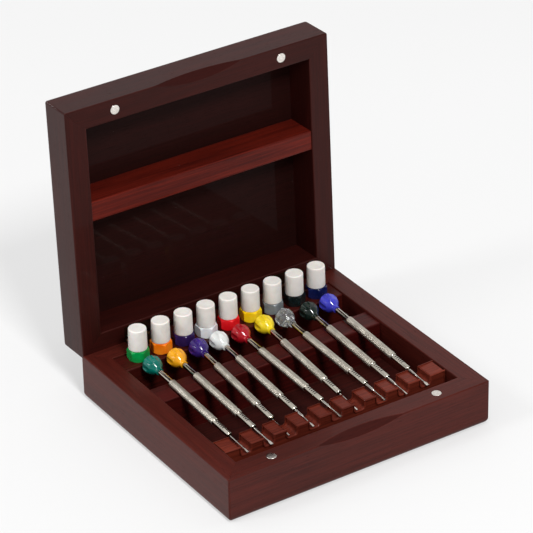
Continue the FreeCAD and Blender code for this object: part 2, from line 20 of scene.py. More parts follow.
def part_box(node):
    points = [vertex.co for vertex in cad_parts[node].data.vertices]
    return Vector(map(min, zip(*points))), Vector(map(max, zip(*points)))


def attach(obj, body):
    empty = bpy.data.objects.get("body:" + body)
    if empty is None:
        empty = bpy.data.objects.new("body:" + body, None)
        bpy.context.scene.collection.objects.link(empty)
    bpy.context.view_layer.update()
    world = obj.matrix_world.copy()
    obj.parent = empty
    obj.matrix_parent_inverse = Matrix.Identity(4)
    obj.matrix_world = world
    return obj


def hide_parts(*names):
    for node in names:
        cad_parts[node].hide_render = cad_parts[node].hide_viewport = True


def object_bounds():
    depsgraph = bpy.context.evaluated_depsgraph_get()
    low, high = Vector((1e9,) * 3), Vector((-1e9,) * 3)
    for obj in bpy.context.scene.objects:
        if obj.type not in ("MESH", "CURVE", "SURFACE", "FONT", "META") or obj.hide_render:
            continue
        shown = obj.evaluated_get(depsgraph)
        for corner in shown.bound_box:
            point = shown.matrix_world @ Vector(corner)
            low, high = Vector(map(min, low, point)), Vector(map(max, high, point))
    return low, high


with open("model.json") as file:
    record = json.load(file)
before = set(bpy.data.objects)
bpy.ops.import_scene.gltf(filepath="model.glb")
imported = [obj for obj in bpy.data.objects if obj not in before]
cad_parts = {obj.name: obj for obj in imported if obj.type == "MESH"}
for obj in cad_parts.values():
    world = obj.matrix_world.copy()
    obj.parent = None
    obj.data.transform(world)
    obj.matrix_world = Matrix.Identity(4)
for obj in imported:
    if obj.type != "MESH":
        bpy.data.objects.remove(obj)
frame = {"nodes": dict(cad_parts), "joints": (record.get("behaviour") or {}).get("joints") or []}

design_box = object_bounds()
MM = 0.001
COUNT = 9
print("design box in mm:", [round(side / MM, 1) for side in design_box[1] - design_box[0]])

# %% [markdown]
# ## The camera
# A long lens far away keeps the case's edges nearly parallel. The view comes from the front left
# and above. A camera's own axes are right, up and back, so the turn is a matrix with those three
# as its columns, and a small roll mixes right with up.

# %% Camera
LENS = 215.1
DISTANCE = 1.82
AIM = Vector((-0.0110, -0.0009, 0.1017))
AZIMUTH, ELEVATION, ROLL = (math.radians(a) for a in (-32.69, 30.25, -1.26))


def camera_axes(azimuth, elevation, roll):
    """Right, up and back: back points from the aim to the camera, right is level before the roll."""
    level = math.cos(elevation)
    back = Vector((math.sin(azimuth) * level, -math.cos(azimuth) * level, math.sin(elevation)))
    flat = Vector((0, 0, 1)).cross(back).normalized()
    steep = back.cross(flat)
    right = flat * math.cos(roll) + steep * math.sin(roll)
    return right, back.cross(right), back


def add_camera():
    """A camera looking at the aim from the given distance."""
    right, up, back = camera_axes(AZIMUTH, ELEVATION, ROLL)
    data = bpy.data.cameras.new("camera")
    data.lens = LENS
    data.sensor_width = 36
    data.clip_end = 20
    camera = bpy.data.objects.new("camera", data)
    bpy.context.scene.collection.objects.link(camera)
    turn = Matrix((right, up, back)).transposed().to_4x4()
    camera.matrix_world = Matrix.Translation(AIM + back * DISTANCE) @ turn
    bpy.context.scene.camera = camera
    return camera


print("camera at", [round(v, 3) for v in add_camera().matrix_world.translation])

# %% [markdown]
# ## Shader sums written as Python
# A material is a graph of nodes, and long graphs are hard to read. Here one small class wraps a
# socket, so `1 - mask * 0.5` adds the Math nodes by itself. Every other node comes from one
# method, which takes the node's type, its settings and what its sockets get.

# %% Sockets and finishes
class Value:
    """A shader socket on which plus, minus and times work by adding Math nodes."""

    def __init__(self, finish, socket):
        self.finish = finish
        self.socket = socket

    def math(self, operation, *others):
        """Any Math node on this value and others."""
        sockets = dict(enumerate((self, *others)))
        return self.finish.node("ShaderNodeMath", {"operation": operation}, sockets)

    def __add__(self, other):
        return self.math("ADD", other)

    def __sub__(self, other):
        return self.math("SUBTRACT", other)

    def __rsub__(self, other):
        return (self * -1) + other

    def __mul__(self, other):
        return self.math("MULTIPLY", other)

    __radd__ = __add__

    def __abs__(self):
        return self.math("ABSOLUTE")

    def less(self, other):
        """One where this value is below the other, and zero elsewhere."""
        return self.math("LESS_THAN", other)

    def ramp(self, low, high, start=0.0, stop=1.0):
        """A smooth step: start below low, stop above high, and an S-curve between."""
        sockets = {"Value": self, "From Min": low, "From Max": high, "To Min": start, "To Max": stop}
        return self.finish.node("ShaderNodeMapRange", {"interpolation_type": "SMOOTHSTEP"}, sockets)


class Finish:
    """A material with one Principled shader whose constant sockets are set by name."""

    def __init__(self, name, constants):
        self.material = bpy.data.materials.new(name)
        self.material.use_nodes = True
        self.tree = self.material.node_tree
        self.tree.nodes.clear()
        self.shader = self.tree.nodes.new("ShaderNodeBsdfPrincipled")
        output = self.tree.nodes.new("ShaderNodeOutputMaterial")
        self.tree.links.new(self.shader.outputs["BSDF"], output.inputs["Surface"])
        self.feed(constants)

    def plug(self, target, value):
        """Link a value to a socket, or set the socket's own number or colour."""
        if isinstance(value, Value):
            self.tree.links.new(value.socket, target)
        else:
            target.default_value = value

    def feed(self, sockets):
        """Set or link the shader's sockets."""
        for name, value in sockets.items():
            self.plug(self.shader.inputs[name], value)

    def node(self, kind, settings, sockets, out=0):
        """One node of any kind: settings first, then sockets by name or number; gives one output."""
        made = self.tree.nodes.new(kind)
        for name, setting in settings.items():
            setattr(made, name, setting)
        for key, value in sockets.items():
            self.plug(made.inputs[key], value)
        return Value(self, made.outputs[out])

    def mix(self, factor, one, other):
        """A colour between two colours."""
        sockets = {0: factor, 6: one, 7: other}
        return self.node("ShaderNodeMix", {"data_type": "RGBA"}, sockets, out=2)

    def noise(self, vector, scale, detail=3.0, rough=0.5):
        """Fractal noise from 0 to 1."""
        sockets = {"Vector": vector, "Scale": scale, "Detail": detail, "Roughness": rough}
        return self.node("ShaderNodeTexNoise", {}, sockets)

    def vector(self, x, y, z):
        """Three values as one vector."""
        return self.node("ShaderNodeCombineXYZ", {}, {0: x, 1: y, 2: z})

    def split(self, vector):
        """The three values of a vector."""
        made = self.node("ShaderNodeSeparateXYZ", {}, {0: vector}).socket.node
        return [Value(self, socket) for socket in made.outputs]

    def place(self):
        """The surface point in the row frame, in metres."""
        return self.node("ShaderNodeTexCoord", {}, {}, out="Object")

    def bump(self, height, depth, strength=1.0):
        """Feed the normal with a height from 0 to 1 that stands for the given depth in metres."""
        sockets = {"Height": height, "Distance": depth, "Strength": strength}
        self.feed({"Normal": self.node("ShaderNodeBump", {}, sockets)})


def colour(code):
    """A six-digit hex colour as the linear red, green, blue and alpha that shaders use."""
    parts = np.array([int(code[i:i + 2], 16) for i in (0, 2, 4)]) / 255
    linear = np.where(parts <= 0.04045, parts / 12.92, ((parts + 0.055) / 1.055) ** 2.4)
    return (*linear.tolist(), 1.0)


print("a mid brown in linear light:", [round(c, 3) for c in colour("6b4030")])

# %% [markdown]
# ## Stained wood
# The case is a fine, straight-grained hardwood under a dark red-brown stain and a satin lacquer.
# Grain runs along each rail, so the finish has to know which rail it is on: at a mitred corner
# the side rail begins where a point is nearer to the side face than to the front or back face.
# Streaks are noise squeezed hard across the grain; pores are the same noise, shorter and cut off
# high. The lid stands open, so a Mapping node first turns its points back to the closed place.
# The finger notch is painted darker, as painted shade in its hollow, and it is made duller.

# %% Wood finish
CASE_DEPTH = 0.1605
CASE_HALF = ((design_box[1].x - design_box[0].x) / 2, CASE_DEPTH / 2)
RIM_HEIGHT, NOTCH_HALF, NOTCH_REACH, NOTCH_DROP = 0.029, 0.0312, 0.0055, 0.0045
hinge = next(joint for joint in frame["joints"] if joint["name"] == "lid_hinge")
HINGE_PLACE = Vector(hinge["pos_m"])
OPEN_ANGLE = -math.radians(hinge["range_deg"][0])


def closed_place(finish):
    """The lid's point turned back about the hinge as if shut, centred like the base."""
    turn = Matrix.Rotation(OPEN_ANGLE, 3, "X")
    shift = Vector((0, HINGE_PLACE.y, 0)) - turn @ HINGE_PLACE
    sockets = {"Vector": finish.place(), "Location": shift, "Rotation": (OPEN_ANGLE, 0, 0)}
    return finish.node("ShaderNodeMapping", {}, sockets)


def wood(name, deep, warm, rails, lid=False, gloss=0.4, seed=0.0):
    """Stained wood: deep in the pores and shadows of the grain, warm between them.

    rails is True on a mitred frame; elsewhere the grain runs along X.
    """
    tint = colour("e0a49c")
    constants = {"IOR": 1.4, "Specular IOR Level": 0.4, "Specular Tint": tint, "Coat Weight": 0.05}
    finish = Finish(name, constants)
    x, y, z = finish.split(closed_place(finish) if lid else finish.place())
    along, across, rail = x, y, 0.0
    if rails:
        side = (CASE_HALF[0] - abs(x)).less(CASE_HALF[1] - abs(y))
        along = x + side * (y - x)
        across = y + side * (x - y)
        rail = side * 3.1 + across.less(0) * 1.7
    board = finish.vector(along * 22 + rail + seed, across * 900 + rail, z * 900)
    streak = finish.noise(board, 1.0, detail=5.0, rough=0.62)
    fleck = finish.noise(finish.vector(along * 170 + rail, across * 2600 + seed, z * 2600), 1.0, 2.0)
    cloud = finish.noise(finish.vector(along * 9 + seed, across * 34 + rail, z * 34), 1.0, 3.0)
    pore = fleck.ramp(0.60, 0.70)
    tone = (streak.ramp(0.30, 0.72) * 0.6 + cloud.ramp(0.25, 0.75) * 0.4) * (1 - pore * 0.55)
    lint = finish.noise(finish.vector(x * 950 + seed, y * 950, z * 950), 1.0, 1.0)
    dust = lint.ramp(0.835, 0.86)
    stain = finish.mix(tone, colour(deep), colour(warm))
    if rails:
        behind = y + CASE_HALF[1]
        sunk = z if lid else RIM_HEIGHT - z
        # The notch's dark colour is painted shade in the hollow; its extra roughness makes it duller.
        notch_shade_mask = abs(x).less(NOTCH_HALF) * behind.ramp(0.0, 0.0002) * behind.less(NOTCH_REACH)
        notch_shade_mask = notch_shade_mask * sunk.ramp(0.0001, 0.0003) * sunk.less(NOTCH_DROP)
        stain = finish.mix(notch_shade_mask * 0.7, stain, colour("240504"))
        gloss = gloss + notch_shade_mask * 0.3
    finish.feed({"Base Color": finish.mix(dust * 0.5, stain, colour("b9aaa2"))})
    finish.feed({"Roughness": gloss + cloud * 0.12 + pore * 0.15})
    finish.bump(streak * 0.6 - pore * 0.7, 0.00006, 0.5)
    return finish.material


FRAME_WOOD = wood("frame_wood", "2e0e0a", "4f1b14", True)
# The lid's colours are darker than the base frame's: painted shade for the dimmer light on the lid.
LID_WOOD = wood("lid_wood", "1e0706", "38100c", True, lid=True, gloss=0.44, seed=4.0)
PANEL_WOOD = wood("panel_wood", "0d0201", "200504", False, lid=True, gloss=0.7, seed=9.0)
FLOOR_WOOD = wood("floor_wood", "180605", "3a120e", False, gloss=0.5, seed=2.5)
BAR_WOOD = wood("bar_wood", "3c120c", "742e1f", False, seed=6.0)
RACK_WOOD = wood("rack_wood", "220806", "48140f", False, seed=7.5)
REST_WOOD = wood("rest_wood", "220505", "4a110e", False, seed=6.0)
LID_BAR_WOOD = wood("lid_bar_wood", "340a07", "6c1c10", False, lid=True, seed=12.0)


def dress(material, *names):
    """Give design nodes a finish through their own material slots."""
    for name in names:
        node = frame["nodes"][name]
        if not node.material_slots:
            node.data.materials.append(None)
        for slot in node.material_slots:
            slot.material = material


dress(FRAME_WOOD, "base_frame")
dress(FLOOR_WOOD, "base_floor")
dress(RACK_WOOD, "vial_rack")
dress(REST_WOOD, "rest_bar")
dress(LID_WOOD, "lid_frame")
dress(PANEL_WOOD, "lid_panel")
dress(LID_BAR_WOOD, "lid_bar")
print("wood finishes:", len(bpy.data.materials))

# %% [markdown]
# ## Brass hinges
# Small butt hinges are stamped from brass sheet and darkened chemically, so they hardly show
# against the stain. The design's leaves, pins and slotted screws already have the right shape,
# and they keep it. Brushing along X and broad patches of tarnish are all they gain.

# %% Brass
def brass():
    """Darkened brass: fine streaks along X in the roughness, tarnish in broad soft patches."""
    finish = Finish("aged_brass", {"Metallic": 1.0})
    x, y, z = finish.split(finish.place())
    brush = finish.noise(finish.vector(x * 60, y * 6000, z * 6000), 1.0, 2.0)
    patch = finish.noise(finish.vector(x * 240, y * 240, z * 240), 1.0, 4.0)
    tint = finish.mix(patch.ramp(0.35, 0.7), colour("4d3524"), colour("2b1b13"))
    finish.feed({"Base Color": tint, "Roughness": 0.38 + brush * 0.16 + patch * 0.1})
    finish.bump(brush, 0.00001, 0.4)
    return finish.material


dress(brass(), *[name for name in frame["nodes"] if name.startswith("hinge_")])
print("hinge pieces:", sum(name.startswith("hinge_") for name in frame["nodes"]))

# %% [markdown]
# ## Skins from rings
# A turned or moulded piece is a stack of rings. Quads join each ring to the next, and a fan
# closes each end at a pole. Going round counter-clockwise while the rings advance makes every
# face point outwards. The same walk also lines a bore: the rings come back down inside it.

# %% Rings to a mesh
def ring_faces(rows, columns):
    """Quads between neighbouring rings, each ring's last point joined to its first."""
    start = np.arange(rows - 1)[:, None] * columns
    here = np.arange(columns)[None, :]
    after = (here + 1) % columns
    quads = [start + here, start + after, start + columns + after, start + columns + here]
    return np.stack(quads, -1).reshape(-1, 4)


def fan(pole, first, columns, forward):
    """Triangles from a pole to one ring; forward is True where the cap faces the way of travel."""
    here = first + np.arange(columns)
    after = first + (np.arange(columns) + 1) % columns
    pair = [here, after] if forward else [after, here]
    return np.stack([np.full(columns, pole), *pair], -1)


def make_piece(name, points, faces, material, sharp=34):
    """A mesh object from points in millimetres, smooth except at edges sharper than an angle."""
    mesh = bpy.data.meshes.new(name)
    mesh.from_pydata((points * MM).tolist(), [], faces)
    mesh.validate()
    mesh.shade_smooth()
    mesh.set_sharp_from_angle(angle=math.radians(sharp))
    mesh.materials.append(material)
    piece = bpy.data.objects.new(name, mesh)
    bpy.context.scene.collection.objects.link(piece)
    return piece


def ring_solid(rings):
    """The points and faces of a closed solid from an array of rings (rows, columns, 3)."""
    rows, columns, _ = rings.shape
    ends = [rings[0].mean(0), rings[-1].mean(0)]
    points = np.concatenate([rings.reshape(-1, 3), ends])
    tail = rows * columns
    faces = ring_faces(rows, columns).tolist()
    faces += fan(tail, 0, columns, False).tolist()
    faces += fan(tail + 1, tail - columns, columns, True).tolist()
    return points, faces


def spun(stations, radii, columns, centre=(0.0, 0.0)):
    """Rings of a turned profile: at each station along +Z a circle of the given radius."""
    angle = np.linspace(0, 2 * np.pi, columns, endpoint=False) + np.pi / 2
    radii = np.broadcast_to(np.asarray(radii, float).reshape(len(stations), -1), (len(stations), columns))
    x = centre[0] + radii * np.cos(angle)
    y = centre[1] + radii * np.sin(angle)
    z = np.broadcast_to(np.asarray(stations, float)[:, None], x.shape)
    return np.stack([x, y, z], -1)


def eased(corners, ease, steps=4):
    """A profile with each inner corner cut back by at most ease and replaced by a smooth bend.

    The bend is a quadratic curve from one cut to the other with the corner as its control point.
    """
    corners = np.asarray(corners, float)
    made = [corners[:1]]
    share = np.linspace(0, 1, steps)[:, None]
    for before, corner, after in zip(corners, corners[1:], corners[2:]):
        cut = [min(ease, 0.45 * np.linalg.norm(end - corner)) for end in (before, after)]
        one, two = (
            corner + (end - corner) * (size / max(np.linalg.norm(end - corner), 1e-9))
            for end, size in zip((before, after), cut)
        )
        made.append((1 - share) ** 2 * one + 2 * share * (1 - share) * corner + share ** 2 * two)
    made.append(corners[-1:])
    return np.concatenate(made)


print("a ring of 48 points makes", len(ring_faces(2, 48)), "quads with the next one")

# %% [markdown]
# ## Where the drivers lie
# Each driver lies tip forward in a slot of the comb with its grip in a groove of the rest bar.
# A hand laid them, so they are a little askew. Their swivel joints give each axis exactly: the
# joint's place is 95 mm up from the tip. A driver is drawn upright with its tip at the origin and
# then laid along that axis with its set screw on top.

# %% Laying a driver
SWIVEL_STATION = 95.0
axes = {}
for joint in frame["joints"]:
    if joint["name"].startswith("head_"):
        ahead = np.array(joint["axis"], float)
        ahead /= np.linalg.norm(ahead)
        tip = np.array(joint["pos_m"], float) / MM - SWIVEL_STATION * ahead
        axes[int(joint["name"].split("_")[1])] = (tip, ahead)


def laid(points, number):
    """Upright points carried onto a driver's axis: X stays level and -Y becomes the top."""
    tip, ahead = axes[number]
    level = np.cross(ahead, (0, 0, 1))
    level /= np.linalg.norm(level)
    return tip + points @ np.stack([level, np.cross(ahead, level), ahead])


print("first tip in mm:", axes[1][0].round(2), " last:", axes[COUNT][0].round(2))

# %% [markdown]
# ## The driver's barrel
# The barrel is turned from one steel bar: a plain nose that clamps the blade, a long grip with a
# fine diamond knurl, and a polished neck. A knurling tool presses two sets of slanting grooves
# that cross, and leaves small pyramids. On a grid of half pitches the pyramids' tops and the
# groove crossings alternate like a chessboard, and each cell is split along its groove. That
# gives true pyramids, with two triangles a cell, instead of a painted pattern.

# %% Barrel shape
REACH, NOSE_END, GRIP_END, NECK_END = 19.0, 34.0, 80.5, 93.0
NOSE_RADIUS, GRIP_RADIUS, NECK_RADIUS = 1.75, 2.3, 1.7
PINTLE_RADIUS, FLANGE_RADIUS, PINTLE_END, FLANGE_END = 1.2, 1.8, 97.5, 98.7
MOUTH_RADIUS, MOUTH_OFFSET, MOUTH_DEPTH = 1.15, 0.28, 2.2
AROUND = 72
BEVEL, EDGE_EASE = 0.3, 0.12
KNURL_DEPTH, KNURL_MARGIN = 0.04, 0.7
KNURL_START = NOSE_END + KNURL_MARGIN
KNURL_STOP = GRIP_END - KNURL_MARGIN
KNURL_PITCH = 2 * math.pi * GRIP_RADIUS / (AROUND / 2)


def knurl():
    """Stations and radii of the grip: full radius on every other grid point, one depth less between."""
    rows = int((GRIP_END - NOSE_END - 2 * KNURL_MARGIN) / (KNURL_PITCH / 2))
    stations = np.linspace(KNURL_START, KNURL_STOP, rows)
    raised = (np.arange(rows)[:, None] + np.arange(AROUND)[None, :]) % 2
    return stations, GRIP_RADIUS - KNURL_DEPTH * (1 - raised)


def barrel_rings():
    """Rings out along the mouth's wall, over the nose, and along the grip and neck to the flange."""
    mouth = spun([REACH + MOUTH_DEPTH, REACH], [MOUTH_RADIUS] * 2, AROUND, (MOUTH_OFFSET, -MOUTH_OFFSET))
    middle = GRIP_RADIUS - KNURL_DEPTH / 2
    nose = eased([
        (REACH, NOSE_RADIUS - BEVEL), (REACH + BEVEL, NOSE_RADIUS), (NOSE_END, NOSE_RADIUS),
        (NOSE_END, GRIP_RADIUS - BEVEL), (NOSE_END + BEVEL, middle), (NOSE_END + 2 * BEVEL, middle),
    ], EDGE_EASE)
    neck = eased([
        (GRIP_END - 2 * BEVEL, middle), (GRIP_END - BEVEL, middle), (GRIP_END, GRIP_RADIUS - BEVEL),
        (GRIP_END, NECK_RADIUS), (NECK_END, NECK_RADIUS), (NECK_END, PINTLE_RADIUS),
        (PINTLE_END, PINTLE_RADIUS), (PINTLE_END, FLANGE_RADIUS), (FLANGE_END, FLANGE_RADIUS),
        (FLANGE_END, 0.6),
    ], EDGE_EASE)
    stations, radii = knurl()
    parts = [spun(p[:, 0], p[:, 1], AROUND) for p in (nose, neck)]
    return np.concatenate([mouth, parts[0], spun(stations, radii, AROUND), parts[1]])


def groove_split(quads, columns):
    """Each quad as two triangles whose shared edge joins the two groove crossings."""
    even = ((quads[:, 0] // columns + quads[:, 0] % columns) % 2 == 0)[:, None]
    one = np.where(even, quads[:, [0, 1, 2]], quads[:, [0, 1, 3]])
    two = np.where(even, quads[:, [0, 2, 3]], quads[:, [1, 2, 3]])
    return np.concatenate([one, two])


def barrel_mesh():
    """The barrel's points and faces, the grip's cells split along their grooves."""
    rings = barrel_rings()
    points, faces = ring_solid(rings)
    quads = ring_faces(len(rings), AROUND)
    middle = rings[:, :, 2].reshape(-1)[quads].mean(1)
    gripped = (middle > KNURL_START) & (middle < KNURL_STOP)
    first_row = quads[gripped][0, 0] // AROUND
    shift = AROUND if first_row % 2 else 0
    split = groove_split(quads[gripped] + shift, AROUND) - shift
    return points, quads[~gripped].tolist() + split.tolist() + faces[len(quads):]


barrel_points, barrel_faces = barrel_mesh()
print("barrel faces:", len(barrel_faces), " knurl pitch in mm:", round(KNURL_PITCH, 3))

# %% [markdown]
# ## Steel finishes
# The nose and neck are polished, and the grip is satin from its knurl. Two attributes tell the
# finish where it is, so a single material covers the barrel: the station along the axis, and the
# turn round it from the top. The nose carries a row of plain engraved dashes as a size code.
# Grinding leaves faint marks across the blade, and its tip is painted lighter as a painted glint.

# %% Barrel and blade steel
def stations_of(piece, stations, turns=None):
    """Store each point's station along its axis, and its turn from the top, as attributes."""
    for name, values in (("station", stations), ("turn", turns)):
        if values is not None:
            layer = piece.data.attributes.new(name, "FLOAT", "POINT")
            layer.data.foreach_set("value", np.asarray(values, np.float32))


def attribute(finish, name):
    """A stored attribute as a value."""
    return finish.node("ShaderNodeAttribute", {"attribute_name": name}, {}, out="Fac")


def barrel_steel():
    """Nickelled steel: satin on the grip, polished elsewhere, with dark dashes on the nose."""
    finish = Finish("barrel_steel", {})
    station = attribute(finish, "station")
    turn = attribute(finish, "turn")
    x, y, z = finish.split(finish.place())
    lathe = finish.noise(finish.vector(station * 9, 0.0, 0.0), 1.0, 2.0)
    smear = finish.noise(finish.vector(x * 300, y * 120, z * 300), 1.0, 3.0)
    grip = station.ramp(NOSE_END, NOSE_END + 0.3) * station.ramp(GRIP_END - 0.3, GRIP_END, 1.0, 0.0)
    beat = (station * 0.6).math("FRACT").less(0.5)
    dash = beat * station.ramp(24.2, 24.4) * station.ramp(32.6, 32.8, 1.0, 0.0)
    dash = dash * abs(turn - 0.15).less(0.7)
    bright = finish.mix(smear.ramp(0.3, 0.7), colour("d3cdc0"), colour("bab4a8"))
    finish.feed({"Base Color": finish.mix(dash, bright, colour("1c1a18")), "Metallic": 1 - dash})
    finish.feed({"Roughness": 0.07 + lathe * 0.04 + smear * 0.04 + grip * 0.28 + dash * 0.35})
    finish.bump(lathe * (1 - grip) * 0.2 - dash, 0.00002, 0.3)
    return finish.material


def blade_steel():
    """Hardened steel ground across its length: fine crosswise marks, and a lighter tip that is a painted
    glint.
    """
    finish = Finish("blade_steel", {"Metallic": 1.0})
    station = attribute(finish, "station")
    x, y, z = finish.split(finish.place())
    marks = finish.noise(finish.vector(station * 26, x * 40, z * 40), 1.0, 3.0)
    # The lighter colour near the tip is a painted glint.
    tint = finish.mix(station.ramp(0.0, 4.0), colour("e6dfd6"), colour("cfc9c1"))
    finish.feed({"Base Color": tint, "Roughness": 0.16 + marks * 0.16})
    finish.bump(marks, 0.00001, 0.5)
    return finish.material


BARREL_STEEL = barrel_steel()
BLADE_STEEL = blade_steel()
print("steel finishes:", BARREL_STEEL.name, BLADE_STEEL.name)

# %% [markdown]
# ## Placing the barrels
# The nine barrels are one turned part made nine times. They could be nine objects that share one
# mesh, each turned by its own matrix. Here the points themselves are carried onto each driver's
# axis, so that every piece starts in the case's own frame. The station and the turn come from the
# upright points, because they belong to the part and not to the place where it lies.

# %% Nine barrels
barrel_turns = np.arctan2(barrel_points[:, 0], -barrel_points[:, 1])
for number in range(1, COUNT + 1):
    barrel = make_piece(f"barrel_{number}", laid(barrel_points, number), barrel_faces, BARREL_STEEL, 20)
    stations_of(barrel, barrel_points[:, 2], barrel_turns)
    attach(barrel, f"driver_{number}")
    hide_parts(f"driver_{number}_barrel")
print("barrels:", COUNT)

# %% [markdown]
# ## Blades and set screws
# A blade is a thin round rod, thicker where the nose clamps it, hammered out to a small spade and
# ground on two sides to a wedge. Its section at any station is a circle cut off flat above and
# below: the circle's radius follows the spade, shank and root, and the flats open out along the
# wedge. Nine blades differ in those three sizes, so they come from one table of half widths.

# %% Blade shape
BLADES = {
    1: (0.6, 0.45, 0.45), 2: (0.9, 0.6, 0.6), 3: (0.45, 0.3, 0.3),
    4: (0.6, 0.45, 0.8), 5: (0.75, 0.5, 0.8), 6: (0.5, 0.3, 0.5),
    7: (0.7, 0.45, 0.8), 8: (0.45, 0.42, 0.75), 9: (0.9, 0.5, 0.8),
}
SPADE_END, SHANK_START, SHANK_END, ROOT_START = 2.2, 4.2, 10.0, 12.5
EDGE_HALF, WEDGE_END = 0.175, 5.5
GRUB_RADIUS, GRUB_TOP, GRUB_STATION = 0.6, 1.65, 23.0


def blade_rings(tip, shank, root, rows=90, columns=40):
    """Rings of radius by smooth steps from spade to shank to root, clipped between the wedge's flats."""
    station = np.linspace(0, REACH + 6, rows)[:, None]
    narrow = np.clip((station - SPADE_END) / (SHANK_START - SPADE_END), 0, 1)
    widen = np.clip((station - SHANK_END) / (ROOT_START - SHANK_END), 0, 1)
    taper = 1 - 0.12 * np.clip(1 - station / 0.5, 0, 1) ** 2
    radius = (tip + (shank - tip) * (3 - 2 * narrow) * narrow ** 2) * taper
    radius = radius + (root - shank) * (3 - 2 * widen) * widen ** 2
    flat = EDGE_HALF + (shank + 0.1 - EDGE_HALF) * (station / WEDGE_END) ** 1.3
    angle = np.linspace(0, 2 * np.pi, columns, endpoint=False)[None, :]
    x = radius * np.cos(angle)
    y = np.clip(radius * np.sin(angle), -flat, flat)
    return np.stack([x, y, np.broadcast_to(station, x.shape)], -1)


def grub_screw():
    """A tiny screw with a six-sided socket: rings down its socket, over its rim and round its foot."""
    columns = 24
    angle = np.linspace(0, 2 * np.pi, columns, endpoint=False) + np.pi / 2
    hexagon = 0.27 / np.cos((angle + np.pi / 6) % (np.pi / 3) - np.pi / 6)
    side = np.full(columns, GRUB_RADIUS)
    heights = [-0.35, -0.02, 0.0, 0.0, -0.08, -0.8, -0.8]
    radii = np.stack([hexagon, hexagon, hexagon + 0.03, side - 0.08, side, side, side * 0.6])
    rings = spun(heights, radii, columns)[::-1]
    across = np.stack([rings[..., 0], -(rings[..., 2] + GRUB_TOP), rings[..., 1] + GRUB_STATION], -1)
    return ring_solid(across)


for number, (tip, shank, root) in BLADES.items():
    points, faces = ring_solid(blade_rings(tip, shank, root))
    blade = make_piece(f"blade_{number}", laid(points, number), faces, BLADE_STEEL, 30)
    stations_of(blade, points[:, 2])
    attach(blade, f"driver_{number}")
    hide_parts(f"driver_{number}_blade")
    points, faces = grub_screw()
    screw = make_piece(f"set_screw_{number}", laid(points, number), faces, BLADE_STEEL, 30)
    stations_of(screw, points[:, 2])
    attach(screw, f"driver_{number}")
print("blades:", len(BLADES))

# %% [markdown]
# ## Swivel heads
# The head is a moulded plastic knob that spins on the barrel's pintle while the fingertip presses
# it. Six flutes stop the driver from rolling. At any station the radius is the lesser of the
# turned profile and the distance to the nearest flute's wall. A smooth minimum rounds the ridge
# where they meet, as a mould does. The rings line the pocket round the pintle first, so the clear
# head shows the steel inside it.

# %% Head shape
FLUTE_RADIUS, FLUTE_ORBIT = 2.7, 7.4
POCKET_GAP = 0.06
POCKET = [
    (FLANGE_END + POCKET_GAP, FLANGE_RADIUS + POCKET_GAP),
    (PINTLE_END - POCKET_GAP, FLANGE_RADIUS + POCKET_GAP),
    (PINTLE_END - POCKET_GAP, PINTLE_RADIUS + POCKET_GAP),
    (NECK_END + POCKET_GAP, PINTLE_RADIUS + POCKET_GAP),
]
KNOB = [
    (NECK_END + POCKET_GAP, 2.2), (NECK_END + 2.1, 2.4), (NECK_END + 3.1, 3.3),
    (NECK_END + 5.0, 4.9), (NECK_END + 7.4, 5.7), (NECK_END + 10.6, 5.75),
    (NECK_END + 12.2, 4.8), (NECK_END + 13.0, 3.0), (NECK_END + 13.0, 1.2), (NECK_END + 12.9, 0.4),
]


def flute_wall(angle):
    """How far from the axis the nearest flute's wall lies at an angle; far away between flutes."""
    off = (angle + np.pi / 6) % (np.pi / 3) - np.pi / 6
    inside = FLUTE_RADIUS ** 2 - (FLUTE_ORBIT * np.sin(off)) ** 2
    return np.where(inside > 0, FLUTE_ORBIT * np.cos(off) - np.sqrt(np.maximum(inside, 0)), 50.0)


def soft_min(one, other, power=60):
    """A minimum with a rounded join: the power mean with a large negative power."""
    return (one ** -power + other ** -power) ** (-1 / power)


def head_rings(columns=96):
    """The pocket's rings, then the knob's, fluted by the smooth minimum."""
    pocket = np.array(POCKET)
    knob = eased(KNOB, 0.7, 6)
    angle = np.linspace(0, 2 * np.pi, columns, endpoint=False) + np.pi / 2
    radii = soft_min(knob[:, 1:], flute_wall(angle)[None, :])
    return np.concatenate([spun(pocket[:, 0], pocket[:, 1], columns), spun(knob[:, 0], radii, columns)])


head_points, head_faces = ring_solid(head_rings())
print("head faces:", len(head_faces))

# %% [markdown]
# ## Moulded plastics
# The heads and collars are glossy pigmented plastic. Light goes a little way in, so the finish
# has some scattering below a clear, hard surface. Pigment is never quite even, and handling
# leaves soft smears in the gloss, so noise moves the colour and the roughness slightly.

# %% Plastic finishes
def plastic(name, deep, bright, rough=0.2, scatter=0.12, constants=None):
    """Pigmented plastic between two close colours, with faint orange-peel and worn gloss."""
    base = {"IOR": 1.5, "Subsurface Weight": scatter, "Subsurface Scale": 0.0015}
    finish = Finish(name, {**base, **(constants or {})})
    place = finish.place()
    swirl = finish.noise(place, 170.0, 3.0)
    smear = finish.noise(place, 620.0, 3.0)
    peel = finish.noise(place, 2600.0, 2.0)
    finish.feed({"Base Color": finish.mix(swirl.ramp(0.3, 0.7), colour(deep), colour(bright))})
    finish.feed({"Roughness": rough + smear.ramp(0.35, 0.8) * 0.12})
    finish.bump(peel, 0.00001, 0.15)
    return finish.material


